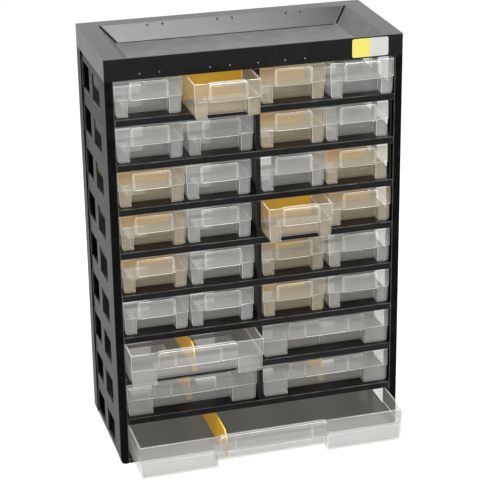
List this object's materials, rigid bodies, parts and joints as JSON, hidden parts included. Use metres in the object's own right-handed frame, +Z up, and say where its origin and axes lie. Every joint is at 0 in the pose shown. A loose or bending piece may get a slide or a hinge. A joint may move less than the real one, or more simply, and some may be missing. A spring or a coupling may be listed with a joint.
{
  "type": "small parts drawer cabinet",
  "caption": "Upright black plastic cabinet with lattice sides, an open tray on top and rows of clear pull-out drawers for small parts.",
  "frame": {"origin": "middle of the housing's underside, on the surface it stands on", "axes": "+Z up, -Y the way the drawers pull out, +X to the right seen from the front"},
  "size_m": [0.32, 0.1958, 0.4595],
  "materials": {
    "black_plastic": "moulded, satin gloss",
    "clear_plastic": "clear, slightly milky",
    "amber_plastic": "translucent amber",
    "label": "smooth printed plate, blank"
  },
  "bodies": {
    "housing": {"left_wall": "black_plastic", "right_wall": "black_plastic", "back_panel": "black_plastic", "base_panel": "black_plastic", "centre_uprights": "black_plastic", "top_tray": "black_plastic", "label_plate": "label", "shelf_1": "black_plastic", "shelf_2": "black_plastic", "shelf_3": "black_plastic", "shelf_4": "black_plastic", "shelf_5": "black_plastic", "shelf_6": "black_plastic", "shelf_7": "black_plastic", "shelf_8": "black_plastic"},
    "small_drawer_1_1": {"small_drawer_1_1": "clear_plastic"},
    "small_drawer_1_2": {"small_drawer_1_2": "clear_plastic", "divider_1_2": "amber_plastic"},
    "small_drawer_1_3": {"small_drawer_1_3": "clear_plastic", "divider_1_3": "amber_plastic"},
    "small_drawer_1_4": {"small_drawer_1_4": "clear_plastic"},
    "small_drawer_2_1": {"small_drawer_2_1": "clear_plastic"},
    "small_drawer_2_2": {"small_drawer_2_2": "clear_plastic"},
    "small_drawer_2_3": {"small_drawer_2_3": "clear_plastic", "divider_2_3": "amber_plastic"},
    "small_drawer_2_4": {"small_drawer_2_4": "clear_plastic"},
    "small_drawer_3_1": {"small_drawer_3_1": "clear_plastic", "divider_3_1": "amber_plastic"},
    "small_drawer_3_2": {"small_drawer_3_2": "clear_plastic"},
    "small_drawer_3_3": {"small_drawer_3_3": "clear_plastic"},
    "small_drawer_3_4": {"small_drawer_3_4": "clear_plastic", "divider_3_4": "amber_plastic"},
    "small_drawer_4_1": {"small_drawer_4_1": "clear_plastic", "divider_4_1": "amber_plastic"},
    "small_drawer_4_2": {"small_drawer_4_2": "clear_plastic"},
    "small_drawer_4_3": {"small_drawer_4_3": "clear_plastic", "divider_4_3": "amber_plastic"},
    "small_drawer_4_4": {"small_drawer_4_4": "clear_plastic", "divider_4_4": "amber_plastic"},
    "small_drawer_5_1": {"small_drawer_5_1": "clear_plastic", "divider_5_1": "amber_plastic"},
    "small_drawer_5_2": {"small_drawer_5_2": "clear_plastic"},
    "small_drawer_5_3": {"small_drawer_5_3": "clear_plastic", "divider_5_3": "amber_plastic"},
    "small_drawer_5_4": {"small_drawer_5_4": "clear_plastic"},
    "small_drawer_6_1": {"small_drawer_6_1": "clear_plastic"},
    "small_drawer_6_2": {"small_drawer_6_2": "clear_plastic"},
    "small_drawer_6_3": {"small_drawer_6_3": "clear_plastic", "divider_6_3": "amber_plastic"},
    "small_drawer_6_4": {"small_drawer_6_4": "clear_plastic"},
    "medium_drawer_7_1": {"medium_drawer_7_1": "clear_plastic", "divider_7_1": "amber_plastic"},
    "medium_drawer_7_2": {"medium_drawer_7_2": "clear_plastic"},
    "medium_drawer_8_1": {"medium_drawer_8_1": "clear_plastic", "divider_8_1": "amber_plastic"},
    "medium_drawer_8_2": {"medium_drawer_8_2": "clear_plastic", "divider_8_2": "amber_plastic"},
    "large_drawer": {"large_drawer": "clear_plastic", "divider_9_1": "amber_plastic"}
  },
  "joints": [
    {"name": "slide_1_1", "type": "slide", "parent": "housing", "child": "small_drawer_1_1", "axis": [0, -1, 0], "range_m": [0, 0.105]},
    {"name": "slide_1_2", "type": "slide", "parent": "housing", "child": "small_drawer_1_2", "axis": [0, -1, 0], "range_m": [-0.031, 0.074]},
    {"name": "slide_1_3", "type": "slide", "parent": "housing", "child": "small_drawer_1_3", "axis": [0, -1, 0], "range_m": [0, 0.105]},
    {"name": "slide_1_4", "type": "slide", "parent": "housing", "child": "small_drawer_1_4", "axis": [0, -1, 0], "range_m": [-0.005, 0.1]},
    {"name": "slide_2_1", "type": "slide", "parent": "housing", "child": "small_drawer_2_1", "axis": [0, -1, 0], "range_m": [0, 0.105]},
    {"name": "slide_2_2", "type": "slide", "parent": "housing", "child": "small_drawer_2_2", "axis": [0, -1, 0], "range_m": [0, 0.105]},
    {"name": "slide_2_3", "type": "slide", "parent": "housing", "child": "small_drawer_2_3", "axis": [0, -1, 0], "range_m": [0, 0.105]},
    {"name": "slide_2_4", "type": "slide", "parent": "housing", "child": "small_drawer_2_4", "axis": [0, -1, 0], "range_m": [0, 0.105]},
    {"name": "slide_3_1", "type": "slide", "parent": "housing", "child": "small_drawer_3_1", "axis": [0, -1, 0], "range_m": [0, 0.105]},
    {"name": "slide_3_2", "type": "slide", "parent": "housing", "child": "small_drawer_3_2", "axis": [0, -1, 0], "range_m": [0, 0.105]},
    {"name": "slide_3_3", "type": "slide", "parent": "housing", "child": "small_drawer_3_3", "axis": [0, -1, 0], "range_m": [0, 0.105]},
    {"name": "slide_3_4", "type": "slide", "parent": "housing", "child": "small_drawer_3_4", "axis": [0, -1, 0], "range_m": [0, 0.105]},
    {"name": "slide_4_1", "type": "slide", "parent": "housing", "child": "small_drawer_4_1", "axis": [0, -1, 0], "range_m": [0, 0.105]},
    {"name": "slide_4_2", "type": "slide", "parent": "housing", "child": "small_drawer_4_2", "axis": [0, -1, 0], "range_m": [0, 0.105]},
    {"name": "slide_4_3", "type": "slide", "parent": "housing", "child": "small_drawer_4_3", "axis": [0, -1, 0], "range_m": [-0.026, 0.079]},
    {"name": "slide_4_4", "type": "slide", "parent": "housing", "child": "small_drawer_4_4", "axis": [0, -1, 0], "range_m": [0, 0.105]},
    {"name": "slide_5_1", "type": "slide", "parent": "housing", "child": "small_drawer_5_1", "axis": [0, -1, 0], "range_m": [0, 0.105]},
    {"name": "slide_5_2", "type": "slide", "parent": "housing", "child": "small_drawer_5_2", "axis": [0, -1, 0], "range_m": [0, 0.105]},
    {"name": "slide_5_3", "type": "slide", "parent": "housing", "child": "small_drawer_5_3", "axis": [0, -1, 0], "range_m": [0, 0.105]},
    {"name": "slide_5_4", "type": "slide", "parent": "housing", "child": "small_drawer_5_4", "axis": [0, -1, 0], "range_m": [0, 0.105]},
    {"name": "slide_6_1", "type": "slide", "parent": "housing", "child": "small_drawer_6_1", "axis": [0, -1, 0], "range_m": [0, 0.105]},
    {"name": "slide_6_2", "type": "slide", "parent": "housing", "child": "small_drawer_6_2", "axis": [0, -1, 0], "range_m": [0, 0.105]},
    {"name": "slide_6_3", "type": "slide", "parent": "housing", "child": "small_drawer_6_3", "axis": [0, -1, 0], "range_m": [0, 0.105]},
    {"name": "slide_6_4", "type": "slide", "parent": "housing", "child": "small_drawer_6_4", "axis": [0, -1, 0], "range_m": [0, 0.105]},
    {"name": "slide_7_1", "type": "slide", "parent": "housing", "child": "medium_drawer_7_1", "axis": [0, -1, 0], "range_m": [-0.029, 0.076]},
    {"name": "slide_7_2", "type": "slide", "parent": "housing", "child": "medium_drawer_7_2", "axis": [0, -1, 0], "range_m": [0, 0.105]},
    {"name": "slide_8_1", "type": "slide", "parent": "housing", "child": "medium_drawer_8_1", "axis": [0, -1, 0], "range_m": [0, 0.105]},
    {"name": "slide_8_2", "type": "slide", "parent": "housing", "child": "medium_drawer_8_2", "axis": [0, -1, 0], "range_m": [0, 0.105]},
    {"name": "slide_9_1", "type": "slide", "parent": "housing", "child": "large_drawer", "axis": [0, -1, 0], "range_m": [-0.0545, 0.0505]}
  ]
}
